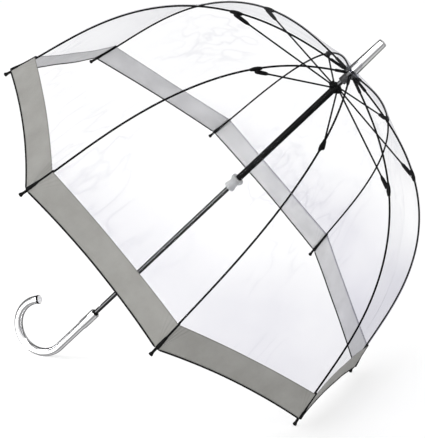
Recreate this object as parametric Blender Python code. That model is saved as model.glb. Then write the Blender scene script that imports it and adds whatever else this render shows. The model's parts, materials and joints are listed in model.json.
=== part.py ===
"""A clear dome umbrella, open and resting on the floor on its crook and two rib tips.

The umbrella is modelled upright in its own frame: +Z runs up the shaft to the crown, and the
origin is the level of the rib pivots.  An empty called resting_pose tips the whole of it over.
Each of the eight ribs is drawn in its own plane, where X is the distance from the shaft.
"""
import bpy
import bmesh
import math
from mathutils import Matrix, Vector

# ---------------------------------------------------------------- driving dimensions (metres)
CLEARANCE = 0.0003

REST_TILT = math.radians(44.78)     # the shaft's rise above the floor
CROWN_X = 0.2782                    # where the crown pivots rest, ahead of the middle
CROWN_HEIGHT = 0.5897               # and above the floor

RIB_COUNT = 8
FIRST_RIB = math.radians(22.5)      # azimuth of the first rib, from the side on the floor
RIB_STEP = math.tau / RIB_COUNT
RIB_PIVOT_R = 0.0095
RIB_LENGTH = 0.662                  # along the curve, from its pivot to the end of its tip
RIB_PITCHES = [math.radians(a) for a in (8.0, 30.0, 65.5, 69.0)]  # dip at each third of it
RIB_R = 0.0016
RIB_SLEEVE_R = 0.0022               # the thicker sleeve near the crown
RIB_SLEEVE_FROM, RIB_SLEEVE_TO = 0.008, 0.032
CLIP_AT = 0.2155                    # distance along the rib to the stretcher's clip
CLIP_LENGTH = 0.012
CLIP_INSET = 0.0032                 # the clip's pivot stands this far inside the rib
MID_JOINT_AT = 0.2230               # where the straightening of the rib is gathered
LOWER_JOINT_AT = 0.4000
FLEX_GAP = 0.0010                   # left between two rib lengths, so that they can turn
RIB_END_AT = 0.6560
TIP_FROM = 0.6480
TIP_R, TIP_BEAD_R = 0.0024, 0.0037

COVER_FROM_R = 0.0135
COVER_HEM_AT = 0.6475
COVER_INNER = 0.0030                # from the rib's middle to the inside of the cover
COVER_OUTER = 0.0047
COVER_STATIONS = 17

SHAFT_R, SHAFT_BORE_R = 0.0045, 0.0037
SHAFT_TOP, SHAFT_BOTTOM = 0.0320, -0.7350
FERRULE_FROM, FERRULE_TO = 0.0088, 0.0795
FERRULE_BASE_R, FERRULE_END_R = 0.0098, 0.0078

NOTCH_TOP, NOTCH_FLANGE, NOTCH_BOTTOM = 0.0050, -0.0042, -0.0200
NOTCH_R, NOTCH_NECK_R = 0.0125, 0.0074
NOTCH_SLOT_WIDTH = 0.0038
SLOT_ROOT_R = 0.0074

HUB_PIVOT_Z = -0.0355
HUB_TOP, HUB_BOTTOM = -0.0290, -0.0440
HUB_FLANGE_TOP, HUB_FLANGE_BOTTOM = -0.0318, -0.0392
HUB_R, HUB_NECK_R = 0.0125, 0.0072
HUB_PIVOT_R = 0.0100
STRETCHER_R, STRETCHER_END_R = 0.0014, 0.0021
STRETCHER_END_LENGTH = 0.024
STRETCHER_SIDE = 0.0040             # stretchers lie beside the rib's plane by this much
RUNNER_BORE_R = 0.0050
SLEEVE_R = 0.0061
SLEEVE_BOTTOM = -0.2840
COLLAR_BOTTOM = -0.3100
COLLAR_R, COLLAR_WAIST_R, COLLAR_FOOT_R = 0.0120, 0.0085, 0.0102
CATCH_POCKET_R = 0.0058

HANDLE_TOP = -0.6920
GROMMET_TOP = -0.6895
CROOK_FROM = -0.8033                # where the straight of the handle ends
CROOK_R = 0.0532
CROOK_TURN = math.radians(212.0)
CROOK_TAIL = 0.003                  # a short straight at the hook's end
HANDLE_R, HANDLE_SOCKET_R = 0.0081, 0.0049
HANDLE_MOUTH_R = 0.0094             # the handle is thicker where it takes the shaft
HANDLE_MOUTH_LENGTH, HANDLE_TAPER_LENGTH = 0.034, 0.012
HANDLE_SOCKET_DEPTH = 0.046
GROMMET_R = 0.0066                  # smaller than the handle, whose end shows round it
END_CAP_LENGTH = 0.006

SPRING_LENGTH = 0.040
SPRING_WIDTH, SPRING_THICKNESS = 0.0024, 0.0008
SPRING_NOSE_R = 0.0053              # how far the nose stands out from the shaft's axis
TOP_CATCH_Z, BOTTOM_CATCH_Z = -0.2970, -0.6700

# ---------------------------------------------------------------- materials: colour, rough, metal
FINISHES = {
    "black_steel": ((0.020, 0.020, 0.022), 0.35, 0.6),
    "black_plastic": ((0.018, 0.018, 0.019), 0.45, 0.0),
    "grey_plastic": ((0.10, 0.10, 0.11), 0.40, 0.0),
    "frosted_plastic": ((0.62, 0.63, 0.66), 0.35, 0.0),
    "dark_chrome": ((0.16, 0.16, 0.17), 0.18, 1.0),
    "silver": ((0.74, 0.74, 0.76), 0.22, 1.0),
    "spring_steel": ((0.45, 0.45, 0.46), 0.30, 1.0),
    "clear_sheet": ((0.86, 0.87, 0.92), 0.12, 0.0),
}


def make_material(name):
    """A Principled material with one of the finishes above."""
    colour, roughness, metallic = FINISHES[name]
    material = bpy.data.materials.new(name)
    material.use_nodes = True
    shader = material.node_tree.nodes["Principled BSDF"]
    shader.inputs["Base Color"].default_value = (*colour, 1.0)
    shader.inputs["Roughness"].default_value = roughness
    shader.inputs["Metallic"].default_value = metallic
    material.diffuse_color = (*colour, 1.0)
    return material


# ---------------------------------------------------------------- the rib's curve
def rib_pitch(s):
    """The rib's dip below the horizontal at distance s, on a cubic through RIB_PITCHES."""
    u = 3.0 * s / RIB_LENGTH
    total = 0.0
    for i, pitch in enumerate(RIB_PITCHES):
        weight = 1.0
        for j in range(4):
            if j != i:
                weight *= (u - j) / (i - j)
        total += weight * pitch
    return total


def rib_point(s, offset=0.0):
    """The point (r, z) at distance s along the rib, moved outwards by offset."""
    steps = max(2, round(abs(s) / 0.004))
    step = s / steps
    r, z = RIB_PIVOT_R, 0.0
    for k in range(steps):
        pitch = rib_pitch((k + 0.5) * step)
        r += step * math.cos(pitch)
        z -= step * math.sin(pitch)
    pitch = rib_pitch(s)
    return r + offset * math.sin(pitch), z + offset * math.cos(pitch)


def spaced(start, stop, count):
    """count numbers from start to stop, evenly apart."""
    return [start + (stop - start) * k / (count - 1) for k in range(count)]


# ---------------------------------------------------------------- shape makers
def new_object(name, bm, finish, parent, origin=(0, 0, 0), smooth_deg=40):
    """Turn a bmesh drawn in the parent's frame into an object whose origin is at `origin`."""
    bmesh.ops.recalc_face_normals(bm, faces=bm.faces)
    bmesh.ops.translate(bm, verts=bm.verts, vec=-Vector(origin))
    mesh = bpy.data.meshes.new(name)
    bm.to_mesh(mesh)
    bm.free()
    mesh.shade_smooth()
    mesh.set_sharp_from_angle(angle=math.radians(smooth_deg))
    mesh.materials.append(materials[finish])
    obj = bpy.data.objects.new(name, mesh)
    bpy.context.collection.objects.link(obj)
    obj.parent = parent
    obj.location = origin
    return obj


def new_empty(name, parent, turn=0.0):
    """An empty that holds parts, turned about its parent's Z."""
    empty = bpy.data.objects.new(name, None)
    empty.empty_display_size = 0.02
    bpy.context.collection.objects.link(empty)
    empty.parent = parent
    empty.rotation_euler = (0, 0, turn)
    return empty


def lathe(outline, steps, closed):
    """Spin an outline of (r, z) points about Z. A closed outline makes a ring with a bore."""
    bm = bmesh.new()
    verts = [bm.verts.new((r, 0, z)) for r, z in outline]
    edges = [bm.edges.new(pair) for pair in zip(verts, verts[1:])]
    if closed:
        edges.append(bm.edges.new((verts[-1], verts[0])))
    bmesh.ops.spin(bm, geom=verts + edges, cent=(0, 0, 0), axis=(0, 0, 1), angle=math.tau,
                   steps=steps, use_merge=True)
    bmesh.ops.remove_doubles(bm, verts=bm.verts, dist=1e-6)
    return bm


def sweep(path, radii, sides, side_shift=0.0):
    """A rod of round section along a path of (x, z) points, with a radius at each."""
    bm = bmesh.new()
    rings = []
    for k, ((x, z), radius) in enumerate(zip(path, radii)):
        before, after = path[max(k - 1, 0)], path[min(k + 1, len(path) - 1)]
        along = Vector((after[0] - before[0], after[1] - before[1])).normalized()
        ring = []
        for j in range(sides):
            turn = math.tau * j / sides
            out, across = radius * math.cos(turn), radius * math.sin(turn)
            ring.append(bm.verts.new((x + out * along.y, side_shift + across, z - out * along.x)))
        rings.append(ring)
    for low, high in zip(rings, rings[1:]):
        bmesh.ops.bridge_loops(bm, edges=ring_edges(bm, low) + ring_edges(bm, high))
    bm.faces.new(rings[0])
    bm.faces.new(rings[-1])
    return bm


def ring_edges(bm, ring):
    """The edges round a ring of vertices, made where they are missing."""
    pairs = zip(ring, ring[1:] + ring[:1])
    return [bm.edges.get(pair) or bm.edges.new(pair) for pair in pairs]


def block(low, high):
    """A box between two corners."""
    bm = bmesh.new()
    bmesh.ops.create_cube(bm, size=1.0)
    size = Vector(high) - Vector(low)
    centre = (Vector(high) + Vector(low)) / 2
    bmesh.ops.scale(bm, vec=size, verts=bm.verts)
    bmesh.ops.translate(bm, vec=centre, verts=bm.verts)
    return bm


def append_mesh(bm, other):
    """Add a second bmesh's shape to the first."""
    mesh = bpy.data.meshes.new("joined")
    other.to_mesh(mesh)
    other.free()
    bm.from_mesh(mesh)
    bpy.data.meshes.remove(mesh)


def add_boolean(obj, operation, tool):
    """Cut or join obj with a hidden tool object."""
    tool.hide_render = True
    tool.display_type = "WIRE"
    modifier = obj.modifiers.new(operation.lower() + "_" + tool.name, "BOOLEAN")
    modifier.operation = operation
    modifier.object = tool
    modifier.solver = "EXACT"


def slot_cutter(name, parent, low, high):
    """Eight boxes round the axis that cut radial slots, one for each rib."""
    bm = bmesh.new()
    for k in range(RIB_COUNT):
        slot = block(low, high)
        bmesh.ops.rotate(slot, cent=(0, 0, 0), verts=slot.verts,
                         matrix=Matrix.Rotation(FIRST_RIB + k * RIB_STEP, 3, "Z"))
        append_mesh(bm, slot)
    return new_object(name, bm, "black_plastic", parent)


# ---------------------------------------------------------------- the shaft and what is fixed to it
def make_shaft(parent):
    """One tube from the ferrule's socket to the handle's, with a window for each catch."""
    outline = [(SHAFT_R, SHAFT_TOP), (SHAFT_R, SHAFT_BOTTOM),
               (SHAFT_BORE_R, SHAFT_BOTTOM), (SHAFT_BORE_R, SHAFT_TOP)]
    shaft = new_object("shaft_tube", lathe(outline, 24, True), "dark_chrome", parent)
    windows = bmesh.new()
    half = SPRING_WIDTH / 2 + CLEARANCE
    for catch in (TOP_CATCH_Z, BOTTOM_CATCH_Z):
        low = (-2 * SHAFT_R, -half, catch - 0.012)
        append_mesh(windows, block(low, (0, half, catch + 0.006)))
    add_boolean(shaft, "DIFFERENCE", new_object("shaft_windows", windows, "silver", parent))


def make_spring(name, catch, parent):
    """A leaf in the shaft: fixed at its top, with a nose that stands out of the window."""
    wall = -SHAFT_BORE_R + CLEARANCE
    root = catch + SPRING_LENGTH - 0.010
    spine = [(wall + SPRING_THICKNESS / 2 + 0.0002, root), (wall + 0.0010, catch + 0.010),
             (-SPRING_NOSE_R + 0.0008, catch - 0.004), (-SPRING_NOSE_R + 0.0008, catch - 0.006),
             (wall + 0.0012, catch - 0.0085)]
    bm = bmesh.new()
    thick = Vector((SPRING_THICKNESS / 2, 0))
    outer = [Vector(p) - thick for p in spine]
    inner = [Vector(p) + thick for p in reversed(spine)]
    half = SPRING_WIDTH / 2
    ring = [bm.verts.new((p.x, -half, p.y)) for p in outer + inner]
    face = bm.faces.new(ring)
    grown = bmesh.ops.extrude_face_region(bm, geom=[face])
    moved = [v for v in grown["geom"] if isinstance(v, bmesh.types.BMVert)]
    bmesh.ops.translate(bm, vec=(0, SPRING_WIDTH, 0), verts=moved)
    new_object(name, bm, "spring_steel", parent, (spine[0][0], 0, root), smooth_deg=20)


def make_ferrule(parent):
    """The tapered spike over the crown, with a socket for the shaft and a rounded end."""
    socket_r, socket_top = SHAFT_R + CLEARANCE, SHAFT_TOP + CLEARANCE
    bevel = 0.0012
    outline = [(0, FERRULE_TO), (FERRULE_END_R - bevel, FERRULE_TO),
               (FERRULE_END_R, FERRULE_TO - bevel), (FERRULE_BASE_R, FERRULE_FROM + bevel),
               (FERRULE_BASE_R - bevel / 2, FERRULE_FROM), (socket_r, FERRULE_FROM),
               (socket_r, socket_top), (0, socket_top)]
    new_object("ferrule", lathe(outline, 32, False), "silver", parent)


def make_crown_cap(parent):
    """The clear washer that presses the cover on to the crown."""
    low, high = NOTCH_TOP + CLEARANCE, FERRULE_FROM - CLEARANCE
    bore = SHAFT_R + CLEARANCE
    outline = [(bore, high), (0.0120, high), (0.0150, low + 0.0012), (0.0150, low), (bore, low)]
    new_object("crown_cap", lathe(outline, 32, True), "frosted_plastic", parent)


def make_top_notch(parent):
    """The slotted crown that holds the ribs' inner ends on one ring of wire."""
    bore = SHAFT_R + CLEARANCE
    outline = [(NOTCH_R, NOTCH_TOP), (NOTCH_R, NOTCH_FLANGE), (NOTCH_NECK_R, NOTCH_FLANGE - 0.001),
               (NOTCH_NECK_R, NOTCH_BOTTOM), (bore, NOTCH_BOTTOM), (bore, NOTCH_TOP)]
    notch = new_object("top_notch", lathe(outline, 32, True), "grey_plastic", parent)
    half = NOTCH_SLOT_WIDTH / 2
    low = (SLOT_ROOT_R, -half, NOTCH_FLANGE - 0.004)
    high = (NOTCH_R + 0.002, half, NOTCH_TOP - 0.0015)
    add_boolean(notch, "DIFFERENCE", slot_cutter("notch_slots", parent, low, high))


def crook_point(turn):
    """A point (x, z) on the middle line of the crook's bend."""
    return -CROOK_R + CROOK_R * math.cos(turn), CROOK_FROM - CROOK_R * math.sin(turn)


def make_handle(parent):
    """The crook, its dark grommet and the cap on its end."""
    mouth_end = HANDLE_TOP - HANDLE_MOUTH_LENGTH
    path = [(0.0, HANDLE_TOP), (0.0, mouth_end), (0.0, mouth_end - HANDLE_TAPER_LENGTH)]
    path += [crook_point(a) for a in spaced(0.0, CROOK_TURN, 26)]
    end_x = path[-1][0] - CROOK_TAIL * math.sin(CROOK_TURN)
    end_z = path[-1][1] - CROOK_TAIL * math.cos(CROOK_TURN)
    path.append((end_x, end_z))
    radii = [HANDLE_MOUTH_R] * 2 + [HANDLE_R] * (len(path) - 2)
    crook = new_object("crook_handle", sweep(path, radii, 20), "silver", parent)
    socket = [(0, HANDLE_TOP + 0.01), (HANDLE_SOCKET_R, HANDLE_TOP + 0.01),
              (HANDLE_SOCKET_R, HANDLE_TOP - HANDLE_SOCKET_DEPTH),
              (0, HANDLE_TOP - HANDLE_SOCKET_DEPTH)]
    cutter = new_object("handle_socket", lathe(socket, 24, False), "silver", parent)
    add_boolean(crook, "DIFFERENCE", cutter)

    bore = SHAFT_R + CLEARANCE
    low, high = HANDLE_TOP + CLEARANCE, GROMMET_TOP
    outline = [(GROMMET_R - 0.0006, high), (GROMMET_R, high - 0.0006), (GROMMET_R, low),
               (bore, low), (bore, high)]
    new_object("handle_grommet", lathe(outline, 32, True), "black_plastic", parent)

    r = HANDLE_R
    length = END_CAP_LENGTH
    outline = [(0, length), (r * 0.6, length), (r * 0.92, length - 0.0022),
               (r + 0.0004, 0.0026), (r + 0.0004, CLEARANCE), (0, CLEARANCE)]
    cap = new_object("hook_end_cap", lathe(outline, 24, False), "frosted_plastic", parent)
    cap.location = (end_x, 0, end_z)
    cap.rotation_euler = (0, math.pi + CROOK_TURN, 0)


# ---------------------------------------------------------------- the runner
def make_runner(parent):
    """The hub that carries the stretchers, its long sleeve and the grip collar."""
    bore = RUNNER_BORE_R
    outline = [(HUB_NECK_R, HUB_TOP), (HUB_NECK_R, HUB_FLANGE_TOP), (HUB_R, HUB_FLANGE_TOP),
               (HUB_R, HUB_FLANGE_BOTTOM), (HUB_NECK_R + 0.0010, HUB_FLANGE_BOTTOM - 0.0020),
               (HUB_NECK_R + 0.0004, HUB_BOTTOM), (bore, HUB_BOTTOM), (bore, HUB_TOP)]
    hub = new_object("runner_hub", lathe(outline, 32, True), "black_plastic", parent)
    half = STRETCHER_R + CLEARANCE
    low = (SLOT_ROOT_R, STRETCHER_SIDE - half, HUB_FLANGE_BOTTOM - 0.004)
    high = (HUB_R + 0.002, STRETCHER_SIDE + half, HUB_FLANGE_TOP + 0.001)
    add_boolean(hub, "DIFFERENCE", slot_cutter("hub_slots", parent, low, high))

    top = HUB_BOTTOM - CLEARANCE
    outline = [(SLEEVE_R, top), (SLEEVE_R, SLEEVE_BOTTOM), (bore, SLEEVE_BOTTOM), (bore, top)]
    new_object("runner_sleeve", lathe(outline, 24, True), "black_plastic", parent)

    top, bottom = SLEEVE_BOTTOM - CLEARANCE, COLLAR_BOTTOM
    outline = [(COLLAR_R - 0.001, top), (COLLAR_R, top - 0.0010), (COLLAR_R, top - 0.0050),
               (COLLAR_WAIST_R, top - 0.0105), (COLLAR_WAIST_R, bottom + 0.0095),
               (COLLAR_FOOT_R, bottom + 0.0030), (COLLAR_FOOT_R, bottom + 0.0010),
               (COLLAR_FOOT_R - 0.001, bottom), (bore, bottom), (bore, bottom + 0.0040),
               (CATCH_POCKET_R, bottom + 0.0050), (CATCH_POCKET_R, top - 0.0050),
               (bore, top - 0.0040), (bore, top)]
    new_object("runner_collar", lathe(outline, 32, True), "frosted_plastic", parent)


# ---------------------------------------------------------------- one rib and what hangs on it
def make_rib(number, plane):
    """A rib in three springy lengths, with the clip for its stretcher and its tip."""
    stations = [-0.0012, RIB_SLEEVE_FROM - 0.001, RIB_SLEEVE_FROM, RIB_SLEEVE_TO,
                RIB_SLEEVE_TO + 0.001]
    radii = [RIB_R, RIB_R, RIB_SLEEVE_R, RIB_SLEEVE_R, RIB_R]
    rest = spaced(RIB_SLEEVE_TO + 0.001, MID_JOINT_AT - FLEX_GAP / 2, 9)[1:]
    path = [rib_point(s) for s in stations + rest]
    upper = new_object(f"rib_{number}_upper", sweep(path, radii + [RIB_R] * len(rest), 8),
                       "black_steel", plane, (RIB_PIVOT_R, 0, 0))

    r, z = rib_point(CLIP_AT)
    pitch = rib_pitch(CLIP_AT)
    bm = block((-CLIP_LENGTH / 2, -0.0028, -CLIP_INSET - 0.0016),
               (CLIP_LENGTH / 2, RIB_R, RIB_R * 0.6))
    bmesh.ops.rotate(bm, verts=bm.verts, cent=(0, 0, 0), matrix=Matrix.Rotation(pitch, 3, "Y"))
    bmesh.ops.translate(bm, verts=bm.verts, vec=(r, 0, z))
    clip = new_object(f"clip_block_{number}", bm, "black_plastic", plane)
    add_boolean(upper, "UNION", clip)

    for part, start, stop, count in (("mid", MID_JOINT_AT, LOWER_JOINT_AT - FLEX_GAP / 2, 9),
                                     ("lower", LOWER_JOINT_AT, RIB_END_AT, 7)):
        distances = spaced(start + FLEX_GAP / 2, stop, count)
        path = [rib_point(s) for s in distances]
        joint = rib_point(start)
        new_object(f"rib_{number}_{part}", sweep(path, [RIB_R] * count, 8), "black_steel", plane,
                   (joint[0], 0, joint[1]))

    length = RIB_LENGTH - TIP_FROM
    bore, depth = RIB_R + CLEARANCE, RIB_END_AT - TIP_FROM + CLEARANCE
    outline = [(0, depth), (bore, depth), (bore, 0), (TIP_R, 0), (TIP_R, length * 0.55),
               (TIP_BEAD_R, length - 0.0022), (TIP_BEAD_R, length - 0.0008),
               (TIP_BEAD_R - 0.0008, length), (0, length)]
    tip = new_object(f"rib_{number}_tip", lathe(outline, 10, False), "black_plastic", plane)
    r, z = rib_point(TIP_FROM)
    tip.location = (r, 0, z)
    tip.rotation_euler = (0, math.pi / 2 + rib_pitch(TIP_FROM), 0)


def clip_pivot():
    """Where the stretcher is riveted to the clip, in the rib's plane."""
    return rib_point(CLIP_AT, -CLIP_INSET)


def make_stretcher(number, plane):
    """The strut from the runner's hub to the rib's clip, thicker at the clip end."""
    start = Vector((HUB_PIVOT_R, HUB_PIVOT_Z))
    stop = Vector(clip_pivot())
    along = (stop - start).normalized()
    length = (stop - start).length
    distances = [-0.0012, 0.05, length - STRETCHER_END_LENGTH - 0.001,
                 length - STRETCHER_END_LENGTH, length + 0.001]
    radii = [STRETCHER_R, STRETCHER_R, STRETCHER_R, STRETCHER_END_R, STRETCHER_END_R]
    path = [tuple(start + along * d) for d in distances]
    new_object(f"stretcher_{number}", sweep(path, radii, 8, STRETCHER_SIDE), "black_steel", plane,
               (HUB_PIVOT_R, STRETCHER_SIDE, HUB_PIVOT_Z))


def make_cover_panel(number, plane):
    """The cover from the middle of one gore, over the rib, to the middle of the next."""
    start = next(s / 1000 for s in range(1, 60) if rib_point(s / 1000)[0] >= COVER_FROM_R)
    half = RIB_STEP / 2
    gap = CLEARANCE / 2
    bm = bmesh.new()
    sections = []
    for s in spaced(start, COVER_HEM_AT, COVER_STATIONS):
        section = []
        for offset in (COVER_OUTER, COVER_INNER):
            r, z = rib_point(s, offset)
            for side in (-1, 0, 1):
                x = r if side == 0 else r * math.cos(half) ** 2 + gap * math.sin(half)
                y = side * (r * math.cos(half) * math.sin(half) - gap * math.cos(half))
                section.append(bm.verts.new((x, y, z)))
        outer, inner = section[:3], section[3:]
        sections.append(outer + inner[::-1])
    for low, high in zip(sections, sections[1:]):
        for k in range(6):
            bm.faces.new((low[k], low[(k + 1) % 6], high[(k + 1) % 6], high[k]))
    bm.faces.new(sections[0])
    bm.faces.new(sections[-1])
    new_object(f"cover_panel_{number}", bm, "clear_sheet", plane, (RIB_PIVOT_R, 0, 0), 10)


# ---------------------------------------------------------------- assembly
for old in list(bpy.data.objects):
    bpy.data.objects.remove(old, do_unlink=True)
materials = {name: make_material(name) for name in FINISHES}

resting_pose = new_empty("resting_pose", None)
resting_pose.location = (CROWN_X, 0, CROWN_HEIGHT)
resting_pose.rotation_euler = (0, math.pi / 2 - REST_TILT, 0)
runner = new_empty("runner", resting_pose)

make_shaft(resting_pose)
make_spring("top_spring", TOP_CATCH_Z, resting_pose)
make_spring("bottom_spring", BOTTOM_CATCH_Z, resting_pose)
make_ferrule(resting_pose)
make_crown_cap(resting_pose)
make_top_notch(resting_pose)
make_handle(resting_pose)
make_runner(runner)
for rib_number in range(1, RIB_COUNT + 1):
    azimuth = FIRST_RIB + (rib_number - 1) * RIB_STEP
    rib_plane = new_empty(f"rib_{rib_number}_plane", resting_pose, azimuth)
    strut_plane = new_empty(f"stretcher_{rib_number}_plane", runner, azimuth)
    make_rib(rib_number, rib_plane)
    make_stretcher(rib_number, strut_plane)
    make_cover_panel(rib_number, rib_plane)
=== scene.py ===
import json
import math

import bpy
from mathutils import Matrix, Vector, noise

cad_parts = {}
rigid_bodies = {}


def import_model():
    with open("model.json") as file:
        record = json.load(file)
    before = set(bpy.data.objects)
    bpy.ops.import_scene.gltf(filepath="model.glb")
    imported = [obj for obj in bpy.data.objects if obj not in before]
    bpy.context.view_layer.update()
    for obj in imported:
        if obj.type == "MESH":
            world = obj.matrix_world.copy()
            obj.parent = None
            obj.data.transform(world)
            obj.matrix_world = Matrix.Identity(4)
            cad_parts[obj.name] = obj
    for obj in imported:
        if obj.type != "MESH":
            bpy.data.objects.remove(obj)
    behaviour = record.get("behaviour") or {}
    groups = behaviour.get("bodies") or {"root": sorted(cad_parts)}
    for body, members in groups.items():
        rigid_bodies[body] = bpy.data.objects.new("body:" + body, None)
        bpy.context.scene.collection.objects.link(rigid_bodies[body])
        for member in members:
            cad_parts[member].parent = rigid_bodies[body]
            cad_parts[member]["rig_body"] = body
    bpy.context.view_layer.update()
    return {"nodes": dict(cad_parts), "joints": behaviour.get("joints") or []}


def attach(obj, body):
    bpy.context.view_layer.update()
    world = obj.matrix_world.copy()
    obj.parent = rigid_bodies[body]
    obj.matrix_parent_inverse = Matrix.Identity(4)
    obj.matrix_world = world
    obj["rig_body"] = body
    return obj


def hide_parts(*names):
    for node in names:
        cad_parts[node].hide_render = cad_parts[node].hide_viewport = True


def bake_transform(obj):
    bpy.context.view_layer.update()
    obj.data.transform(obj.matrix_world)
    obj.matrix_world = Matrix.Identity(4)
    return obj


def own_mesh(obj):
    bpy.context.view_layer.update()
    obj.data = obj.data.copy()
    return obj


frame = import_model()

# Looks for the clear dome umbrella.  Everything is drawn in the umbrella's own frame, as in the
# CAD: Z runs up the shaft, the origin is the level of the rib pivots, and X points to the side
# that rests on the floor.  placed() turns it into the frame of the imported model.

# ---------------------------------------------------------------- the umbrella's frame
RIB_COUNT = 8
JOINTS = {joint["name"]: joint for joint in frame["joints"]}
RIB_PIVOTS = [Vector(JOINTS[f"rib_{k}_fold"]["pos_m"]) for k in range(1, RIB_COUNT + 1)]
CROWN = sum(RIB_PIVOTS, Vector()) / RIB_COUNT
SHAFT_UP = -Vector(JOINTS["runner_slide"]["axis"]).normalized()
ACROSS = Vector((0, 1, 0))
FLOORWARD = ACROSS.cross(SHAFT_UP)
PLACE = Matrix.Translation(CROWN) @ Matrix((FLOORWARD, ACROSS, SHAFT_UP)).transposed().to_4x4()
UNPLACE = PLACE.inverted()

RIB_STEP = math.tau / RIB_COUNT
HALF_GORE = RIB_STEP / 2
FIRST_RIB = HALF_GORE
SHAFT_LEAN = math.asin(SHAFT_UP.z) - math.pi / 2      # turns the shaft upright, about ACROSS

# ---------------------------------------------------------------- the rib's curve, as in the CAD
RIB_PIVOT_R = (RIB_PIVOTS[0] - CROWN).length
RIB_LENGTH = 0.662
RIB_PITCHES = [math.radians(a) for a in (8.0, 30.0, 65.5, 69.0)]
MID_JOINT_AT, LOWER_JOINT_AT = 0.2230, 0.4000
RIB_END_AT = 0.6560
RIB_R, RIB_SLEEVE_R = 0.0017, 0.0027
RIB_SLEEVE_FROM, RIB_SLEEVE_TO = 0.006, 0.032
CLIP_AT, CLIP_INSET = 0.2155, 0.0032
STRETCHER_SIDE = 0.0040

# ---------------------------------------------------------------- the handle, as in the CAD
HANDLE_TOP = -0.6920
HANDLE_R, HANDLE_MOUTH_R, HANDLE_MOUTH_LENGTH = 0.0081, 0.0094, 0.034
HANDLE_TAPER_LENGTH = 0.012
CROOK_FROM, CROOK_R, CROOK_TURN, CROOK_TAIL = -0.8033, 0.0532, math.radians(212.0), 0.003
CROOK_RING_PROUD = 0.0006

# ---------------------------------------------------------------- turned metal and its edges
SHAFT_WALL, SHAFT_EDGE = 0.0008, 0.0003
CROWN_BORE = 0.0048                 # through the ferrule and the washer
FERRULE_SOCKET = 0.0235
FERRULE_END_SHARE, FERRULE_ROUND_END = 0.80, 0.0016
ROUND_STEPS = 6                     # points on a small rounded corner

# ---------------------------------------------------------------- clips, struts and pockets
RIB_FROM = -0.0012                  # a rib's inner end, just inside its crown pivot
RIB_SIDES, CROOK_SIDES = 12, 40     # points round a wire and round the crook
CLIP_REACH, CLIP_R, CLIP_END_R, CLIP_DROP = 0.011, 0.0037, 0.0026, 0.0006
# The four outlines below hold (distance along the piece, radius).
RIVET = [(-0.0030, 0.0012), (-0.0026, 0.0016), (0.0056, 0.0016), (0.0062, 0.0012)]
STRUT_NEAR_END = [(-0.0012, 0.0012), (-0.0006, 0.0015), (0.006, 0.0015)]
STRUT_FORK = [(-0.030, 0.0015), (-0.027, 0.0022), (-0.023, 0.0032), (-0.012, 0.0036),
              (-0.001, 0.0036), (0.0022, 0.0032), (0.0032, 0.0018)]
POCKET = [(-0.003, 0.0012), (-0.002, 0.0020), (0.006, 0.0021), (0.026, 0.0022),
          (0.036, 0.0030), (0.046, 0.0036), (0.0515, 0.0036), (0.0530, 0.0026)]

# ---------------------------------------------------------------- the cover
COVER_FROM, HEM_AT, BAND_FROM = 0.0075, 0.6475, 0.5945
COVER_OFFSET = 0.0030               # from the rib's middle to the clear sheet
GORE_SAG = 0.030                    # how far a gore dips between its ribs, as a share of its width
HEM_SCALLOP, BAND_SCALLOP = 0.0080, 0.0030
BAND_THICKNESS = 0.0004
BAND_LAP, BAND_CLEAR = 0.004, 0.0003      # along the clear sheet, and off it
POCKET_OFFSET = 0.0018              # the middle of a rib pocket, from the rib's middle
HEM_TAPE_R = 0.0015
CREASED_CORNERS = {(6, False): 1.0, (7, True): 0.6, (5, False): 0.5}     # (rib, right side): share
FILM_STEPS, BAND_STEPS, TAPE_STEPS = 14, 66, 40      # points across half a gore
BAND_CROWDING = 1.8                 # draws the band's points towards the rib
SHEET_ROWS = {"upper": 40, "mid": 34, "lower": 38}
BAND_ROWS = 22
CREASE_WIDTH, CREASE_REACH, CREASES_PER_RADIAN = 0.16, 0.075, 44.0
PLAIN_CORNER = 0.25                 # how far an ordinary corner is creased
RIPPLE_HEIGHT, CREASE_HEIGHT = 0.0012, 0.0011
SEGMENTS = {"upper": (COVER_FROM, MID_JOINT_AT), "mid": (MID_JOINT_AT, LOWER_JOINT_AT),
            "lower": (LOWER_JOINT_AT, HEM_AT)}


def rib_pitch(s):
    """The rib's dip below the horizontal at distance s, on a cubic through RIB_PITCHES."""
    u = 3.0 * s / RIB_LENGTH
    total = 0.0
    for i, pitch in enumerate(RIB_PITCHES):
        weight = 1.0
        for j in range(4):
            if j != i:
                weight *= (u - j) / (i - j)
        total += weight * pitch
    return total


RIB_STEP_LENGTH = 0.002


def make_rib_table():
    """Points (r, z) along a rib, RIB_STEP_LENGTH apart."""
    table = [(RIB_PIVOT_R, 0.0)]
    for k in range(int(RIB_LENGTH / RIB_STEP_LENGTH) + 4):
        pitch = rib_pitch((k + 0.5) * RIB_STEP_LENGTH)
        r, z = table[-1]
        table.append((r + RIB_STEP_LENGTH * math.cos(pitch), z - RIB_STEP_LENGTH * math.sin(pitch)))
    return table


RIB_TABLE = make_rib_table()


def rib_point(s, offset=0.0):
    """The point (r, z) at distance s along the rib, moved outwards by offset."""
    place = s / RIB_STEP_LENGTH
    low = min(max(int(math.floor(place)), 0), len(RIB_TABLE) - 2)
    share = place - low
    (r0, z0), (r1, z1) = RIB_TABLE[low], RIB_TABLE[low + 1]
    pitch = rib_pitch(s)
    r = r0 + (r1 - r0) * share + offset * math.sin(pitch)
    z = z0 + (z1 - z0) * share + offset * math.cos(pitch)
    return r, z


def spaced(start, stop, count):
    """count numbers from start to stop, evenly apart."""
    return [start + (stop - start) * k / (count - 1) for k in range(count)]


def smooth(value, low, high):
    """0 below low, 1 above high, and a soft step between them."""
    t = min(max((value - low) / (high - low), 0.0), 1.0)
    return t * t * (3 - 2 * t)


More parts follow.
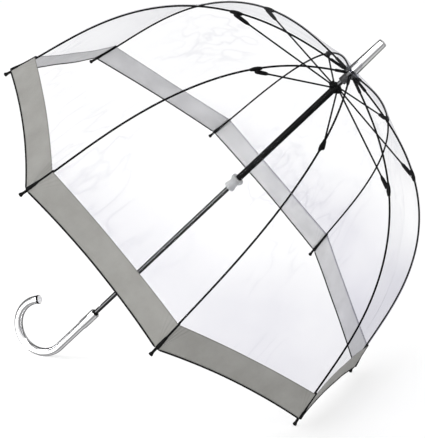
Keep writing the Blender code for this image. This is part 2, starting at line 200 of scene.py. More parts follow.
def in_plane(azimuth, r, z, side=0.0):
    """A point in the upright plane at that azimuth, moved sideways by side."""
    return Vector((r * math.cos(azimuth) - side * math.sin(azimuth),
                   r * math.sin(azimuth) + side * math.cos(azimuth), z))


def sideways(azimuth):
    """The direction square to the upright plane at that azimuth."""
    return in_plane(azimuth, 0.0, 0.0, 1.0)


def rib_azimuth(number):
    return FIRST_RIB + (number - 1) * RIB_STEP


def span(node):
    """A CAD node's largest distance from the shaft's axis, and its lowest and highest Z."""
    points = [UNPLACE @ v.co for v in frame["nodes"][node].data.vertices]
    heights = [p.z for p in points]
    return max(math.hypot(p.x, p.y) for p in points), min(heights), max(heights)


# ---------------------------------------------------------------- materials
FLOOR_GLOW = 0.54


def new_material(name):
    """A node material, its tree, its Principled shader and its output."""
    material = bpy.data.materials.new(name)
    material.use_nodes = True
    tree = material.node_tree
    return material, tree, tree.nodes["Principled BSDF"], tree.nodes["Material Output"]


def add_node(tree, kind, **values):
    """A node with its sockets set by name, such as scale=40 for Scale."""
    node = tree.nodes.new(kind)
    for name, value in values.items():
        node.inputs[name.replace("_", " ").title()].default_value = value
    return node


def object_noise(tree, scale, detail=3.0, roughness=0.5, along_shaft=1.0):
    """Noise in object space. along_shaft below 1 draws it out into lines along the shaft."""
    coordinates = tree.nodes.new("ShaderNodeTexCoord")
    upright = tree.nodes.new("ShaderNodeMapping")
    upright.inputs["Rotation"].default_value = (0, SHAFT_LEAN, 0)
    stretch = tree.nodes.new("ShaderNodeMapping")
    stretch.inputs["Scale"].default_value = (1.0, 1.0, along_shaft)
    texture = add_node(tree, "ShaderNodeTexNoise", scale=scale, detail=detail, roughness=roughness)
    tree.links.new(coordinates.outputs["Object"], upright.inputs["Vector"])
    tree.links.new(upright.outputs["Vector"], stretch.inputs["Vector"])
    tree.links.new(stretch.outputs["Vector"], texture.inputs["Vector"])
    return texture.outputs["Fac"]


def ramp(tree, source, low, high, at=(0.3, 0.7)):
    """Two colours, or two greys, blended by a value."""
    node = tree.nodes.new("ShaderNodeValToRGB")
    for element, place, colour in zip(node.color_ramp.elements, at, (low, high)):
        element.position = place
        element.color = (*colour, 1.0) if hasattr(colour, "__len__") else (colour,) * 3 + (1.0,)
    tree.links.new(source, node.inputs["Fac"])
    return node.outputs["Color"]


def bump(tree, shader, height, strength, distance):
    """Fine relief on a shader's Normal."""
    node = add_node(tree, "ShaderNodeBump", strength=strength, distance=distance)
    tree.links.new(height, node.inputs["Height"])
    tree.links.new(node.outputs["Normal"], shader.inputs["Normal"])


def moulded_plastic(name, dark, light, roughness, ior=1.45, grain=900):
    """Plastic from a mould: a slight change of colour and gloss, and a very fine grain."""
    material, tree, shader, _ = new_material(name)
    tree.links.new(ramp(tree, object_noise(tree, 60), dark, light), shader.inputs["Base Color"])
    rough = ramp(tree, object_noise(tree, 140, 4.0), roughness, roughness + 0.12)
    tree.links.new(rough, shader.inputs["Roughness"])
    shader.inputs["IOR"].default_value = ior
    bump(tree, shader, object_noise(tree, grain, 2.0), 0.15, 0.0002)
    return material


def painted_wire(name):
    """Black enamel on spring wire, a little worn so that the gloss changes along it."""
    material, tree, shader, _ = new_material(name)
    colour = ramp(tree, object_noise(tree, 90, 4.0), (0.002, 0.002, 0.002), (0.007, 0.007, 0.008))
    tree.links.new(colour, shader.inputs["Base Color"])
    tree.links.new(ramp(tree, object_noise(tree, 260), 0.32, 0.55), shader.inputs["Roughness"])
    shader.inputs["IOR"].default_value = 1.12
    bump(tree, shader, object_noise(tree, 1400, 2.0), 0.1, 0.0001)
    return material


def drawn_metal(name, dark, light, roughness, change, grain):
    """Metal with fine lines along the shaft, as drawn or brushed tube has."""
    material, tree, shader, _ = new_material(name)
    lines = object_noise(tree, grain, 5.0, 0.65, along_shaft=0.02)
    tree.links.new(ramp(tree, lines, dark, light), shader.inputs["Base Color"])
    shader.inputs["Metallic"].default_value = 1.0
    tree.links.new(ramp(tree, lines, roughness, roughness + change), shader.inputs["Roughness"])
    bump(tree, shader, lines, 0.05, 0.0001)
    return material


def satin_metal(name, dark, light, roughness, change):
    """Polished aluminium: soft cloudy gloss and a very fine grain."""
    material, tree, shader, _ = new_material(name)
    clouds = object_noise(tree, 45, 6.0, 0.6)
    tree.links.new(ramp(tree, clouds, dark, light), shader.inputs["Base Color"])
    shader.inputs["Metallic"].default_value = 1.0
    tree.links.new(ramp(tree, clouds, roughness, roughness + change), shader.inputs["Roughness"])
    bump(tree, shader, object_noise(tree, 500, 2.0), 0.006, 0.0001)
    return material


def painted_low_shade(tree):
    """Painted shade: soft clouds of darker tint in the part of the sheet that hangs lowest, towards
    the open end, where the dome is in shade.
    """
    coordinates = tree.nodes.new("ShaderNodeTexCoord")
    place = tree.nodes.new("ShaderNodeVectorMath")
    place.operation = "DOT_PRODUCT"
    place.inputs[1].default_value = (0.4, 0.0, 1.0)
    height = tree.nodes.new("ShaderNodeMapRange")
    height.inputs["From Min"].default_value = 0.46
    height.inputs["From Max"].default_value = 0.33
    clouds = tree.nodes.new("ShaderNodeMath")
    clouds.operation = "MULTIPLY"
    tree.links.new(coordinates.outputs["Object"], place.inputs[0])
    tree.links.new(place.outputs["Value"], height.inputs["Value"])
    tree.links.new(height.outputs["Result"], clouds.inputs[0])
    tree.links.new(ramp(tree, object_noise(tree, 5, 5.0), 0.55, 1.0), clouds.inputs[1])
    return clouds.outputs["Value"]


def painted_crease_shade(tree):
    """Painted shade: thin soft lines where the sheet has been folded away, in patches, that darken
    the see-through colour. 0 is smooth sheet.
    """
    lines = tree.nodes.new("ShaderNodeValToRGB")
    for _ in range(3):
        lines.color_ramp.elements.new(0.5)
    for element, (place, level) in zip(lines.color_ramp.elements,
                                       ((0.36, 0.0), (0.46, 0.25), (0.50, 1.0), (0.54, 0.25),
                                        (0.64, 0.0))):
        element.position = place
        element.color = (level, level, level, 1.0)
    tree.links.new(object_noise(tree, 34, 1.5, 0.4, along_shaft=0.22), lines.inputs["Fac"])
    patches = tree.nodes.new("ShaderNodeMath")
    patches.operation = "MULTIPLY"
    tree.links.new(lines.outputs["Color"], patches.inputs[0])
    tree.links.new(ramp(tree, object_noise(tree, 4, 3.0), 0.0, 0.5, at=(0.50, 0.66)),
                   patches.inputs[1])
    return patches.outputs["Value"]


def clear_film(name, clear_colour, low_shade_colour, edge_colour, gloss, rise):
    """Thin clear PVC: it lets the view through, mirrors at a grazing angle and looks greyer at
    its edge, where the view runs further through the sheet."""
    material, tree, shader, output = new_material(name)
    facing = add_node(tree, "ShaderNodeLayerWeight", blend=0.5)
    clear = tree.nodes.new("ShaderNodeBsdfTransparent")
    edge = tree.nodes.new("ShaderNodeMix")
    edge.data_type = "RGBA"
    edge.inputs["B"].default_value = (*edge_colour, 1.0)
    tree.links.new(ramp(tree, facing.outputs["Facing"], 0.0, 1.0, at=(0.70, 1.0)),
                   edge.inputs["Factor"])
    # Painted shade: the clear colour turns to the darker low_shade_colour in the lowest part of the
    # sheet.
    tree.links.new(ramp(tree, painted_low_shade(tree), clear_colour, low_shade_colour, at=(0.0, 1.0)),
                   edge.inputs["A"])
    # Painted shade: the see-through colour is multiplied darker along the crease lines.
    crease_shaded = tree.nodes.new("ShaderNodeMix")
    crease_shaded.data_type = "RGBA"
    crease_shaded.blend_type = "MULTIPLY"
    tree.links.new(painted_crease_shade(tree), crease_shaded.inputs["Factor"])
    tree.links.new(edge.outputs["Result"], crease_shaded.inputs["A"])
    crease_shaded.inputs["B"].default_value = (0.82, 0.82, 0.85, 1.0)
    tree.links.new(crease_shaded.outputs["Result"], clear.inputs["Color"])

    ripples = object_noise(tree, 18, 4.0, 0.55)
    shader.inputs["Base Color"].default_value = (0.5, 0.5, 0.56, 1.0)
    shader.inputs["Metallic"].default_value = 0.6
    tree.links.new(ramp(tree, ripples, 0.07, 0.16), shader.inputs["Roughness"])
    bump(tree, shader, ripples, 0.5, 0.004)
    mix = tree.nodes.new("ShaderNodeMixShader")
    tree.links.new(ramp(tree, facing.outputs["Facing"], gloss, gloss + rise, at=(0.6, 1.0)),
                   mix.inputs["Fac"])
    tree.links.new(clear.outputs["BSDF"], mix.inputs[1])
    tree.links.new(shader.outputs["BSDF"], mix.inputs[2])
    tree.links.new(mix.outputs["Shader"], output.inputs["Surface"])
    return material


def woven_band(name, dark, light, roughness):
    """Closely woven satin polyester: fine ribs each way, slubs, a soft sheen, darker folded edges and
    painted shade in the creases near the hem's corners.
    """
    material, tree, shader, _ = new_material(name)
    coordinates = tree.nodes.new("ShaderNodeUVMap")
    weave = tree.nodes.new("ShaderNodeTexWave")
    weave.inputs["Scale"].default_value = 1.0
    weave.inputs["Distortion"].default_value = 0.8
    weave.wave_type = "BANDS"
    mapping = tree.nodes.new("ShaderNodeMapping")
    mapping.inputs["Scale"].default_value = (260.0, 620.0, 1.0)
    mapping.inputs["Rotation"].default_value = (0, 0, 0.6)
    tree.links.new(coordinates.outputs["UV"], mapping.inputs["Vector"])
    tree.links.new(mapping.outputs["Vector"], weave.inputs["Vector"])
    clouds = object_noise(tree, 22, 5.0, 0.6)
    # The fold attribute darkens the folded edges and paints shade into the corner creases.
    edge = tree.nodes.new("ShaderNodeAttribute")
    edge.attribute_name = "fold"
    mix = tree.nodes.new("ShaderNodeMix")
    mix.data_type = "RGBA"
    mix.blend_type = "MULTIPLY"
    mix.inputs["Factor"].default_value = 1.0
    tree.links.new(ramp(tree, clouds, dark, light), mix.inputs["A"])
    tree.links.new(ramp(tree, edge.outputs["Fac"], 1.0, 0.5, at=(0.5, 1.0)), mix.inputs["B"])
    tree.links.new(mix.outputs["Result"], shader.inputs["Base Color"])
    tree.links.new(ramp(tree, clouds, roughness, roughness + 0.1), shader.inputs["Roughness"])
    shader.inputs["IOR"].default_value = 1.30
    shader.inputs["Sheen Weight"].default_value = 0.12
    shader.inputs["Sheen Roughness"].default_value = 0.4
    bump(tree, shader, weave.outputs["Fac"], 0.25, 0.0002)
    return material


def black_tape(name):
    """Black bias tape and rib pockets: matt, with a fine cross rib."""
    material, tree, shader, _ = new_material(name)
    colour = ramp(tree, object_noise(tree, 120), (0.003, 0.003, 0.003), (0.012, 0.012, 0.013))
    tree.links.new(colour, shader.inputs["Base Color"])
    tree.links.new(ramp(tree, object_noise(tree, 400), 0.6, 0.85), shader.inputs["Roughness"])
    shader.inputs["IOR"].default_value = 1.10
    bump(tree, shader, object_noise(tree, 1200, 3.0), 0.4, 0.0002)
    return material


def cloudy_plastic(name, dark, light):
    """Natural polythene, milky and a little waxy, so that light spreads in it."""
    material, tree, shader, _ = new_material(name)
    tree.links.new(ramp(tree, object_noise(tree, 80), dark, light), shader.inputs["Base Color"])
    tree.links.new(ramp(tree, object_noise(tree, 200), 0.42, 0.55), shader.inputs["Roughness"])
    shader.inputs["IOR"].default_value = 1.35
    shader.inputs["Subsurface Weight"].default_value = 0.25
    shader.inputs["Subsurface Radius"].default_value = (0.004, 0.004, 0.005)
    bump(tree, shader, object_noise(tree, 700), 0.1, 0.0002)
    return material


def floor_material():
    """A studio table of milky sheet, lit from below, so that shadows on it are faint."""
    material, tree, shader, _ = new_material("studio_table")
    grain = object_noise(tree, 3)
    tree.links.new(ramp(tree, grain, 0.46, 0.47), shader.inputs["Base Color"])
    tree.links.new(ramp(tree, grain, 0.99, 1.0), shader.inputs["Emission Color"])
    shader.inputs["Emission Strength"].default_value = FLOOR_GLOW
    shader.inputs["Roughness"].default_value = 0.9
    shader.inputs["Specular IOR Level"].default_value = 0.1
    return material


ENAMEL = painted_wire("black_enamel")
BLACK_PLASTIC = moulded_plastic("black_moulding", (0.002,) * 3, (0.006,) * 3, 0.42, ior=1.12)
GREY_PLASTIC = moulded_plastic("grey_moulding", (0.035, 0.036, 0.038), (0.07, 0.07, 0.072), 0.20)
CLOUDY = cloudy_plastic("milky_polythene", (0.30, 0.305, 0.31), (0.50, 0.505, 0.51))
PALE_CAP = cloudy_plastic("pale_cap", (0.70, 0.70, 0.72), (0.84, 0.84, 0.85))
DARK_CHROME = drawn_metal("dark_chrome", (0.036, 0.036, 0.037), (0.050, 0.050, 0.052), 0.05, 0.05,
                          300)
SILVER = satin_metal("polished_silver", (0.82, 0.82, 0.83), (0.91, 0.91, 0.92), 0.025, 0.02)
STEEL = drawn_metal("spring_steel", (0.40, 0.40, 0.41), (0.58, 0.58, 0.60), 0.22, 0.18, 500)
# The clear sheet's second colour is painted shade for its lowest part.
FILM = clear_film("clear_pvc", (0.990, 0.990, 0.994), (0.79, 0.785, 0.83), (0.83, 0.83, 0.85),
                  0.004, 0.10)
WASHER = clear_film("clear_moulding", (0.86, 0.87, 0.89), (0.80, 0.80, 0.84), (0.5, 0.5, 0.53),
                    0.04, 0.40)
BAND_OUTSIDE = woven_band("band_outside", (0.250, 0.246, 0.231), (0.306, 0.302, 0.287), 0.50)
# Painted light: the inside face is the same fabric made about twice as light, standing in for light
# through the band and its sheen.
BAND_INSIDE_LIT = woven_band("band_inside_painted_light", (0.50, 0.50, 0.51), (0.62, 0.62, 0.63), 0.45)
TAPE = black_tape("black_tape")


# ---------------------------------------------------------------- shape makers
def new_piece(name, points, faces, materials, face_materials=None):
    """A smooth mesh from points in the umbrella's frame."""
    mesh = bpy.data.meshes.new(name)
    mesh.from_pydata([PLACE @ Vector(p) for p in points], [], faces)
    for material in materials:
        mesh.materials.append(material)
    if face_materials:
        mesh.polygons.foreach_set("material_index", face_materials)
    mesh.shade_smooth()
    piece = bpy.data.objects.new(name, mesh)
    bpy.context.collection.objects.link(piece)
    return piece


def lathe(name, outline, steps, material, sharp=35):
    """A closed outline of (r, z) points turned about the shaft. Points on the axis share one."""
    points, rings = [], []
    for r, z in outline:
        ring = []
        for j in range(steps if r > 0 else 1):
            turn = math.tau * j / steps
            points.append((r * math.cos(turn), r * math.sin(turn), z))
            ring.append(len(points) - 1)
        rings.append(ring)
    faces = []
    pairs = list(zip(rings, rings[1:]))
    if len(rings[0]) > 1:
        pairs.append((rings[-1], rings[0]))
    for low, high in pairs:
        for j in range(steps):
            corners = (low[j % len(low)], low[(j + 1) % len(low)],
                       high[(j + 1) % len(high)], high[j % len(high)])
            face = list(dict.fromkeys(corners))
            if len(face) > 2:
                faces.append(face)
    piece = new_piece(name, points, faces, [material])
    piece.data.set_sharp_from_angle(angle=math.radians(sharp))
    return piece


def tube(name, path, radii, sides, material, flatten=1.0, across=None, sharp=50):
    """A rod along a path of points, with a radius at each. flatten thins it across `across`."""
    points, rings = [], []
    side = across.copy() if across else Vector((0, 0, 1))
    for k, (centre, radius) in enumerate(zip(path, radii)):
        along = (path[min(k + 1, len(path) - 1)] - path[max(k - 1, 0)]).normalized()
        side = (side - along * side.dot(along)).normalized()
        out = along.cross(side)
        ring = []
        for j in range(sides):
            turn = math.tau * j / sides
            points.append(centre + side * radius * math.cos(turn)
                          + out * radius * flatten * math.sin(turn))
            ring.append(len(points) - 1)
        rings.append(ring)
    faces = [rings[0][::-1], rings[-1]]
    for low, high in zip(rings, rings[1:]):
        faces += [(low[j], low[(j + 1) % sides], high[(j + 1) % sides], high[j])
                  for j in range(sides)]
    piece = new_piece(name, points, faces, [material])
    piece.data.set_sharp_from_angle(angle=math.radians(sharp))
    return piece


# ---------------------------------------------------------------- the shaft and what is fixed to it
def make_shaft():
    radius, low, high = span("shaft_tube")
    bore = radius - SHAFT_WALL
    outline = [(radius, high - SHAFT_EDGE), (radius, low + SHAFT_EDGE), (radius - SHAFT_EDGE, low),
               (bore, low), (bore, high), (radius - SHAFT_EDGE, high)]
    piece = lathe("steel_shaft", outline, 48, DARK_CHROME)
    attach(piece, "shaft")
    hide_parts("shaft_tube")


def make_ferrule():
    radius, low, high = span("ferrule")
    flat_r = radius * FERRULE_END_SHARE - FERRULE_ROUND_END
    outline = [(0, high)] + [(flat_r + FERRULE_ROUND_END * math.sin(a),
                              high - FERRULE_ROUND_END + FERRULE_ROUND_END * math.cos(a))
                             for a in spaced(0.0, math.pi / 2, ROUND_STEPS)]
    outline += [(radius, low + 0.0014), (radius - 0.0003, low + 0.0004), (radius - 0.0010, low),
                (CROWN_BORE, low), (CROWN_BORE, low + FERRULE_SOCKET), (0, low + FERRULE_SOCKET)]
    piece = lathe("silver_ferrule", outline, 64, SILVER)
    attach(piece, "shaft")
    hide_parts("ferrule")


def make_crown():
    radius, low, high = span("crown_cap")
    outline = [(CROWN_BORE, high), (radius * 0.78, high), (radius * 0.90, high - 0.0008),
               (radius, low + 0.0008), (radius, low), (CROWN_BORE, low)]
    washer = lathe("crown_washer", outline, 48, WASHER, sharp=60)
    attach(washer, "shaft")
    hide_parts("crown_cap")


def refine(node, name, material, sharp=40):
    """A welded and smoothly shaded copy of a CAD node, sharp where its faces meet at a steep angle.
    """
    mesh = frame["nodes"][node].data.copy()
    piece = bpy.data.objects.new(name, mesh)
    bpy.context.collection.objects.link(piece)
    mesh.materials.clear()
    mesh.materials.append(material)
    weld = piece.modifiers.new("weld", "WELD")
    weld.merge_threshold = 0.00002
    depsgraph = bpy.context.evaluated_depsgraph_get()
    welded = bpy.data.meshes.new_from_object(piece.evaluated_get(depsgraph))
    piece.modifiers.clear()
    piece.data = welded
    welded.shade_smooth()
    welded.set_sharp_from_angle(angle=math.radians(sharp))
    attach(piece, frame["nodes"][node]["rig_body"])
    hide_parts(node)


def make_crook():
    """The handle: a thicker mouth, a straight, and a round hook with a dark ring at its end."""
    sharp_edge = 0.0006
    mouth_end = HANDLE_TOP - HANDLE_MOUTH_LENGTH
    marks = [(HANDLE_TOP, HANDLE_MOUTH_R - sharp_edge), (HANDLE_TOP - sharp_edge, HANDLE_MOUTH_R),
             (mouth_end, HANDLE_MOUTH_R)]
    for z in spaced(mouth_end - 0.002, mouth_end - HANDLE_TAPER_LENGTH, ROUND_STEPS):
        mouth_share = 1.0 - smooth(mouth_end - z, 0, HANDLE_TAPER_LENGTH)
        marks.append((z, HANDLE_R + (HANDLE_MOUTH_R - HANDLE_R) * mouth_share))
    path = [Vector((0, 0, z)) for z, _ in marks]
    radii = [radius for _, radius in marks]
    for turn in spaced(0.0, CROOK_TURN, 72):
        path.append(Vector((CROOK_R * (math.cos(turn) - 1.0), 0,
                            CROOK_FROM - CROOK_R * math.sin(turn))))
        radii.append(HANDLE_R)
    along = Vector((-math.sin(CROOK_TURN), 0, -math.cos(CROOK_TURN)))
    end = path[-1] + along * CROOK_TAIL
    path.append(end)
    radii.append(HANDLE_R)
    crook = tube("crook", path, radii, CROOK_SIDES, SILVER, across=ACROSS)
    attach(crook, "shaft")
    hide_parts("crook_handle")
    proud = HANDLE_R + CROOK_RING_PROUD
    marks = [(-0.0014, HANDLE_R), (-0.0010, proud), (0.0028, proud), (0.0032, HANDLE_R)]
    ring = tube("crook_end_ring", [end + along * d for d, _ in marks], [r for _, r in marks],
                CROOK_SIDES, BLACK_PLASTIC, across=ACROSS)
    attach(ring, "shaft")


def make_fittings():
    refine("top_notch", "rib_crown", GREY_PLASTIC)
    refine("handle_grommet", "crook_grommet", BLACK_PLASTIC)
    refine("hook_end_cap", "crook_end_cap", PALE_CAP)
    refine("runner_hub", "black_hub", BLACK_PLASTIC)
    refine("runner_sleeve", "long_sleeve", BLACK_PLASTIC)
    refine("runner_collar", "grip_collar", CLOUDY)
    refine("top_spring", "open_catch", STEEL, 20)
    refine("bottom_spring", "closed_catch", STEEL, 20)


# ---------------------------------------------------------------- ribs and stretchers
SPLIT_AT = (MID_JOINT_AT + LOWER_JOINT_AT) / 2     # where a rib's two pieces meet


def rib_path(number, start, stop, offset=0.0):
    """Points along a rib in the umbrella's frame, about every 5 mm."""
    azimuth = rib_azimuth(number)
    distances = spaced(start, stop, max(2, round((stop - start) / 0.005)))
    return [in_plane(azimuth, *rib_point(s, offset)) for s in distances]


def flex(piece):
    """Bakes the piece's placement into its mesh."""
    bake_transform(piece)


def sleeve_radius(s):
    """The wire's radius near the crown, where a sleeve is crimped on it."""
    swell = smooth(s, RIB_SLEEVE_FROM - 0.001, RIB_SLEEVE_FROM)
    swell *= 1.0 - smooth(s, RIB_SLEEVE_TO, RIB_SLEEVE_TO + 0.002)
    return RIB_R + (RIB_SLEEVE_R - RIB_R) * swell


def make_rib(number):
    azimuth = rib_azimuth(number)
    across = sideways(azimuth)
    distances = spaced(RIB_FROM, 0.036, 20) + spaced(0.041, SPLIT_AT, 55)
    path = [in_plane(azimuth, *rib_point(s)) for s in distances]
    inner = tube(f"rib_{number}_wire", path, [sleeve_radius(s) for s in distances], RIB_SIDES, ENAMEL,
                 across=across)
    flex(inner)
    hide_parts(f"rib_{number}_upper", f"rib_{number}_mid")

    path = rib_path(number, SPLIT_AT, RIB_END_AT)
    outer = tube(f"rib_{number}_end_wire", path, [RIB_R] * len(path), RIB_SIDES, ENAMEL,
                 across=across)
    flex(outer)
    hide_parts(f"rib_{number}_lower")
    refine(f"rib_{number}_tip", f"tip_{number}", BLACK_PLASTIC)


def make_clip(number):
    """The forked bracket crimped on the rib, with the rivet that the strut turns on."""
    azimuth = rib_azimuth(number)
    across = sideways(azimuth)
    path = rib_path(number, CLIP_AT - CLIP_REACH, CLIP_AT + CLIP_REACH, offset=-CLIP_DROP)
    radii = [CLIP_END_R] + [CLIP_R] * (len(path) - 2) + [CLIP_END_R]
    clip = tube(f"rib_{number}_clip", path, radii, RIB_SIDES, BLACK_PLASTIC,
                across=across)
    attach(clip, f"rib_{number}_upper")
    pivot = rib_point(CLIP_AT, -CLIP_INSET)
    ends = [in_plane(azimuth, *pivot, side) for side, _ in RIVET]
    rivet = tube(f"rib_{number}_rivet", ends, [radius for _, radius in RIVET], RIB_SIDES, STEEL,
                 sharp=30)
    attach(rivet, f"rib_{number}_upper")


def make_strut(number):
    """A stretcher: black wire with a long crimped fork at the rib's end."""
    azimuth = rib_azimuth(number)
    start = UNPLACE @ Vector(JOINTS[f"stretcher_{number}_fold"]["pos_m"])
    r, z = rib_point(CLIP_AT, -CLIP_INSET)
    stop = in_plane(azimuth, r, z, STRETCHER_SIDE)
    along = (stop - start).normalized()
    length = (stop - start).length
    marks = STRUT_NEAR_END + [(length + d, radius) for d, radius in STRUT_FORK]
    path = [start + along * d for d, _ in marks]
    strut = tube(f"strut_{number}", path, [radius for _, radius in marks], RIB_SIDES, ENAMEL,
                 across=sideways(azimuth))
    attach(strut, f"stretcher_{number}")
    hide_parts(f"stretcher_{number}")


# ---------------------------------------------------------------- the cover
def corner_creases(gore, v, s):
    """Pleats beside a rib that run together at its tip, from -1 to 1. Some corners have more."""
    edge = (1.0 - abs(v)) * CREASE_WIDTH
    below = HEM_AT - s
    reach = math.hypot(edge, below)
    turn = math.atan2(edge, below + 0.004)
    rib = (gore if v < 0 else gore + 1) % RIB_COUNT + 1
    strength = CREASED_CORNERS.get((rib, v < 0), PLAIN_CORNER)
    share = math.exp(-(reach / CREASE_REACH) ** 2) * smooth(reach, 0.002, 0.012)
    share *= smooth(turn, 0.02, 0.08) * (1.0 - smooth(turn, 0.35, 0.65))
    return strength * share * math.sin(turn * CREASES_PER_RADIAN + rib * 1.7)


def gore_wave(gore, v, s):
    """How far the sheet stands out or in at a point of a gore: broad ripples, and the creases
    that run from the corners of the hem."""
    calm = 1.0 - v * v
    spot = Vector((gore * 7.3 + v * 2.2, s * 9.0, 0.5))
    ripple = RIPPLE_HEIGHT * noise.noise(spot) * calm * smooth(s, 0.03, 0.12)
    return ripple + CREASE_HEIGHT * corner_creases(gore, v, s)


def gore_point(gore, v, s, offset=COVER_OFFSET):
    """A point of the cover in the umbrella's frame. v runs from -1 at one rib to 1 at the next."""
    lift = (BAND_SCALLOP * smooth(s, 0.45, BAND_FROM)
            + (HEM_SCALLOP - BAND_SCALLOP) * smooth(s, BAND_FROM, HEM_AT))
    here = s - lift * (1.0 - v * v)
    r, z = rib_point(here, offset)
    pitch = rib_pitch(here)
    middle = rib_azimuth(gore + 1) + HALF_GORE
    width = r * math.sin(HALF_GORE)
    point = in_plane(middle, r * math.cos(HALF_GORE), z, v * width)
    normal = in_plane(middle, math.sin(pitch), math.cos(pitch))
    dip = GORE_SAG * width * (1.0 - v * v)
    return point + normal * (gore_wave(gore, v, s) - dip)


def gore_normal(gore, v, s, offset):
    """The outward normal, from nearby points, so that neighbouring pieces shade as one."""
    step = 0.002
    along = gore_point(gore, v, s + step, offset) - gore_point(gore, v, s - step, offset)
    low, high = max(v - 0.02, -1.0), min(v + 0.02, 1.0)
    across = gore_point(gore, high, s, offset) - gore_point(gore, low, s, offset)
    return across.cross(along).normalized() * -1.0


def half_gore(name, gore, side, distances, steps, offset, material):
    """One sheet of the cover from a rib to the middle of a gore."""
    across = [side * k / (steps - 1) for k in range(steps)]
    points = [gore_point(gore, v, s, offset) for s in distances for v in across]
    normals = [PLACE.to_3x3() @ gore_normal(gore, v, s, offset) for s in distances for v in across]
    faces = grid_faces(len(distances), steps, flip=side < 0)
    piece = new_piece(name, points, faces, [material])
    piece.data.normals_split_custom_set_from_vertices(normals)
    return piece


def grid_faces(rows, columns, flip, first=0):
    """Quads of a grid of points, row by row."""
    faces = []
    for i in range(rows - 1):
        for j in range(columns - 1):
            a = first + i * columns + j
            face = (a, a + columns, a + columns + 1, a + 1)
            faces.append(face[::-1] if flip else face)
    return faces


def gather(piece):
    """Gives the piece a mesh of its own."""
    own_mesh(piece)


def make_sheet(number, gore, side, part, segment):
    """One clear sheet."""
    start, stop = SEGMENTS[segment]
    if segment == "lower":
        stop = BAND_FROM + BAND_LAP
    name = f"clear_sheet_{number}_{part}_{segment}"
    piece = half_gore(name, gore, side, spaced(start, stop, SHEET_ROWS[segment]), FILM_STEPS,
                      COVER_OFFSET, FILM)
    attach(piece, f"rib_{number}_{segment}")
    gather(piece)
    return piece


def make_band(number, gore, side, part):
    """Half a gore's border: an outside and an inside face, closed round the edge."""
    rows, length = BAND_ROWS, HEM_AT - BAND_FROM
    distances = spaced(BAND_FROM, HEM_AT, rows)
    across = [side * (1.0 - (1.0 - k / (BAND_STEPS - 1)) ** BAND_CROWDING)
              for k in range(BAND_STEPS)]
    points, edge_folds_and_crease_shade, uvs = [], [], []
    for lift in (BAND_THICKNESS, 0.0):
        for s in distances:
            for v in across:
                points.append(gore_point(gore, v, s, COVER_OFFSET + BAND_CLEAR + lift))
                near_edge = min(s - BAND_FROM, HEM_AT - s)
                # Painted shade: the creases near a corner darken the band through the fold attribute;
                # the folded edges are darker too.
                shade = 0.5 - 0.5 * corner_creases(gore, v, s)
                edge_folds_and_crease_shade.append(max(1.0 - smooth(near_edge, 0.0016, 0.0030), shade))
                uvs.append((v, (s - BAND_FROM) / length * 0.4))
    sheet_size = rows * BAND_STEPS
    faces = grid_faces(rows, BAND_STEPS, side < 0)
    kinds = [0] * len(faces)
    inner = grid_faces(rows, BAND_STEPS, side > 0, sheet_size)
    kinds += [1] * len(inner)
    faces += inner
    border = ([(0, j) for j in range(BAND_STEPS)] + [(i, BAND_STEPS - 1) for i in range(1, rows)]
              + [(rows - 1, j) for j in range(BAND_STEPS - 2, -1, -1)]
              + [(i, 0) for i in range(rows - 2, 0, -1)])
    ring = [i * BAND_STEPS + j for i, j in border]
    for a, b in zip(ring, ring[1:] + ring[:1]):
        face = (a, b, b + sheet_size, a + sheet_size)
        faces.append(face if side > 0 else face[::-1])
        kinds.append(0)
    piece = new_piece(f"border_band_{number}_{part}", points, faces, [BAND_OUTSIDE, BAND_INSIDE_LIT],
                      kinds)
    mesh = piece.data
    fold = mesh.attributes.new("fold", "FLOAT", "POINT")
    fold.data.foreach_set("value", edge_folds_and_crease_shade)
    uv_layer = mesh.uv_layers.new(name="UVMap")
    for loop in mesh.loops:
        uv_layer.data[loop.index].uv = uvs[loop.vertex_index]
    mesh.set_sharp_from_angle(angle=math.radians(50))
    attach(piece, f"rib_{number}_lower")
    gather(piece)


def make_binding(number, gore, side, part):
    """The black tape rolled over the hem of half a gore. It stops short of the tip."""
    across = [side * k / TAPE_STEPS for k in range(TAPE_STEPS)]
    path = [gore_point(gore, v, HEM_AT + 0.0004, COVER_OFFSET + 0.0005) for v in across]
    radii = [HEM_TAPE_R] * (len(path) - 1) + [HEM_TAPE_R / 2]
    piece = tube(f"hem_tape_{number}_{part}", path, radii, 8, TAPE)
    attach(piece, f"rib_{number}_lower")
    gather(piece)


def make_pocket(number):
    """The black pocket round the rib along the border band, which also shows as a strip outside."""
    azimuth = rib_azimuth(number)
    path = [in_plane(azimuth, *rib_point(BAND_FROM + d, POCKET_OFFSET)) for d, _ in POCKET]
    pocket = tube(f"rib_{number}_pocket", path, [radius for _, radius in POCKET], 16, TAPE,
                  flatten=1.15, across=sideways(azimuth))
    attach(pocket, f"rib_{number}_lower")


def make_cover():
    """All the sheets. Each rib carries half of the gore on each side of it."""
    for number in range(1, RIB_COUNT + 1):
        for part, gore, side in (("left", number - 2, 1), ("right", number - 1, -1)):
            upper_sheet = make_sheet(number, gore, side, part, "upper")
            if part == "left":
                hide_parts(f"cover_panel_{number}")
            make_sheet(number, gore, side, part, "mid")
            make_sheet(number, gore, side, part, "lower")
            make_band(number, gore, side, part)
            make_binding(number, gore, side, part)
        make_pocket(number)


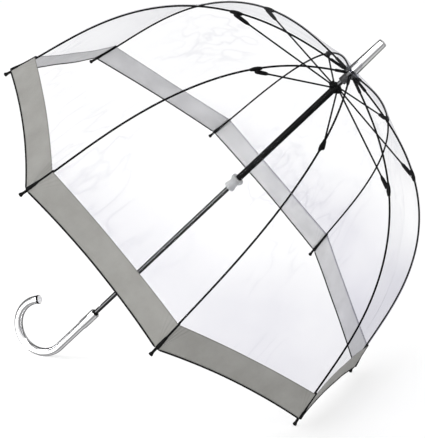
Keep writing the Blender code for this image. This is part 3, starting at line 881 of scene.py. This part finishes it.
# ---------------------------------------------------------------- floor, lights and camera
CAMERA_AT = Vector((0.952, -2.281, 0.801))
CAMERA_TURN, CAMERA_DIP, CAMERA_ROLL = (math.radians(a) for a in (22.07, 11.29, 1.17))
CAMERA_LENS, SENSOR_WIDTH = 115.8, 36.0
FLOOR_REACH = 40.0
KEY_AT, KEY_TARGET, KEY_SIZE, KEY_POWER = (-2.2, -1.6, 2.4), (0, 0, 0.3), (1.4, 1.4), 34
STRIP_STRENGTH = 12.0
REFLECTED_STRIPS = [                # (azimuth round the shaft in degrees, level)
    (-180, 0.010), (-173, 0.036), (-166, 0.036), (-150, 0.036), (-142, 0.075), (-128, 0.090),
    (-121, 1.0), (-98, 1.0), (-91, 0.090), (-66, 0.075), (-50, 0.022), (-36, 0.022),
    (-20, 0.050), (12, 0.055), (28, 0.026), (38, 0.006), (58, 0.006), (72, 0.024),
    (90, 0.036), (104, 0.036), (122, 0.024), (138, 0.006), (164, 0.006), (180, 0.010),
]


def make_floor():
    mesh = bpy.data.meshes.new("floor")
    corners = [(x * FLOOR_REACH, y * FLOOR_REACH, 0)
               for x, y in ((-1, -1), (1, -1), (1, 1), (-1, 1))]
    mesh.from_pydata(corners, [], [(0, 1, 2, 3)])
    mesh.materials.append(floor_material())
    floor = bpy.data.objects.new("floor", mesh)
    bpy.context.collection.objects.link(floor)
    floor.visible_glossy = False


def make_light(name, place, target, size, power):
    light = bpy.data.lights.new(name, "AREA")
    light.shape = "RECTANGLE"
    light.size, light.size_y = size
    light.energy = power
    lamp = bpy.data.objects.new(name, light)
    lamp.location = place
    lamp.rotation_euler = (Vector(target) - Vector(place)).to_track_quat("-Z", "Y").to_euler()
    bpy.context.collection.objects.link(lamp)


def studio_reflections(tree):
    """What shiny pieces mirror: strip lights and dark gaps, set out round the shaft's axis."""
    coordinates = tree.nodes.new("ShaderNodeTexCoord")
    upright = tree.nodes.new("ShaderNodeMapping")
    upright.inputs["Rotation"].default_value = (0, SHAFT_LEAN, 0)
    turn = tree.nodes.new("ShaderNodeTexGradient")
    turn.gradient_type = "RADIAL"
    tree.links.new(coordinates.outputs["Generated"], upright.inputs["Vector"])
    tree.links.new(upright.outputs["Vector"], turn.inputs["Vector"])
    strips = tree.nodes.new("ShaderNodeValToRGB")
    elements = strips.color_ramp.elements
    for _ in REFLECTED_STRIPS[2:]:
        elements.new(0.5)
    for element, (azimuth, level) in zip(elements, REFLECTED_STRIPS):
        element.position = (azimuth + 180.0) / 360.0
        element.color = (level, level, level, 1.0)
    tree.links.new(turn.outputs["Fac"], strips.inputs["Fac"])
    return strips.outputs["Color"]


def make_world():
    """Soft white light from everywhere. Only mirrored rays see the strips."""
    world = bpy.data.worlds.new("studio")
    world.use_nodes = True
    tree = world.node_tree
    white = tree.nodes["Background"]
    white.inputs["Color"].default_value = (1.0, 1.0, 1.0, 1.0)
    white.inputs["Strength"].default_value = 1.0
    strips = tree.nodes.new("ShaderNodeBackground")
    tree.links.new(studio_reflections(tree), strips.inputs["Color"])
    strips.inputs["Strength"].default_value = STRIP_STRENGTH
    rays = tree.nodes.new("ShaderNodeLightPath")
    mix = tree.nodes.new("ShaderNodeMixShader")
    tree.links.new(rays.outputs["Is Glossy Ray"], mix.inputs["Fac"])
    tree.links.new(white.outputs["Background"], mix.inputs[1])
    tree.links.new(strips.outputs["Background"], mix.inputs[2])
    tree.links.new(mix.outputs["Shader"], tree.nodes["World Output"].inputs["Surface"])
    bpy.context.scene.world = world


def make_camera():
    camera_data = bpy.data.cameras.new("camera")
    camera_data.lens = CAMERA_LENS
    camera_data.sensor_width = SENSOR_WIDTH
    camera_data.sensor_fit = "HORIZONTAL"
    camera_data.clip_end = 200.0
    camera = bpy.data.objects.new("camera", camera_data)
    bpy.context.collection.objects.link(camera)
    camera.matrix_world = (Matrix.Translation(CAMERA_AT) @ Matrix.Rotation(CAMERA_TURN, 4, "Z")
                           @ Matrix.Rotation(math.pi / 2 - CAMERA_DIP, 4, "X")
                           @ Matrix.Rotation(CAMERA_ROLL, 4, "Z"))
    bpy.context.scene.camera = camera


# ---------------------------------------------------------------- assembly
make_shaft()
make_ferrule()
make_crown()
make_crook()
make_fittings()
for rib_number in range(1, RIB_COUNT + 1):
    make_rib(rib_number)
    make_clip(rib_number)
    make_strut(rib_number)
make_cover()
make_world()
make_light("key", KEY_AT, KEY_TARGET, KEY_SIZE, KEY_POWER)
make_floor()
make_camera()
bpy.context.scene.view_settings.view_transform = "Standard"
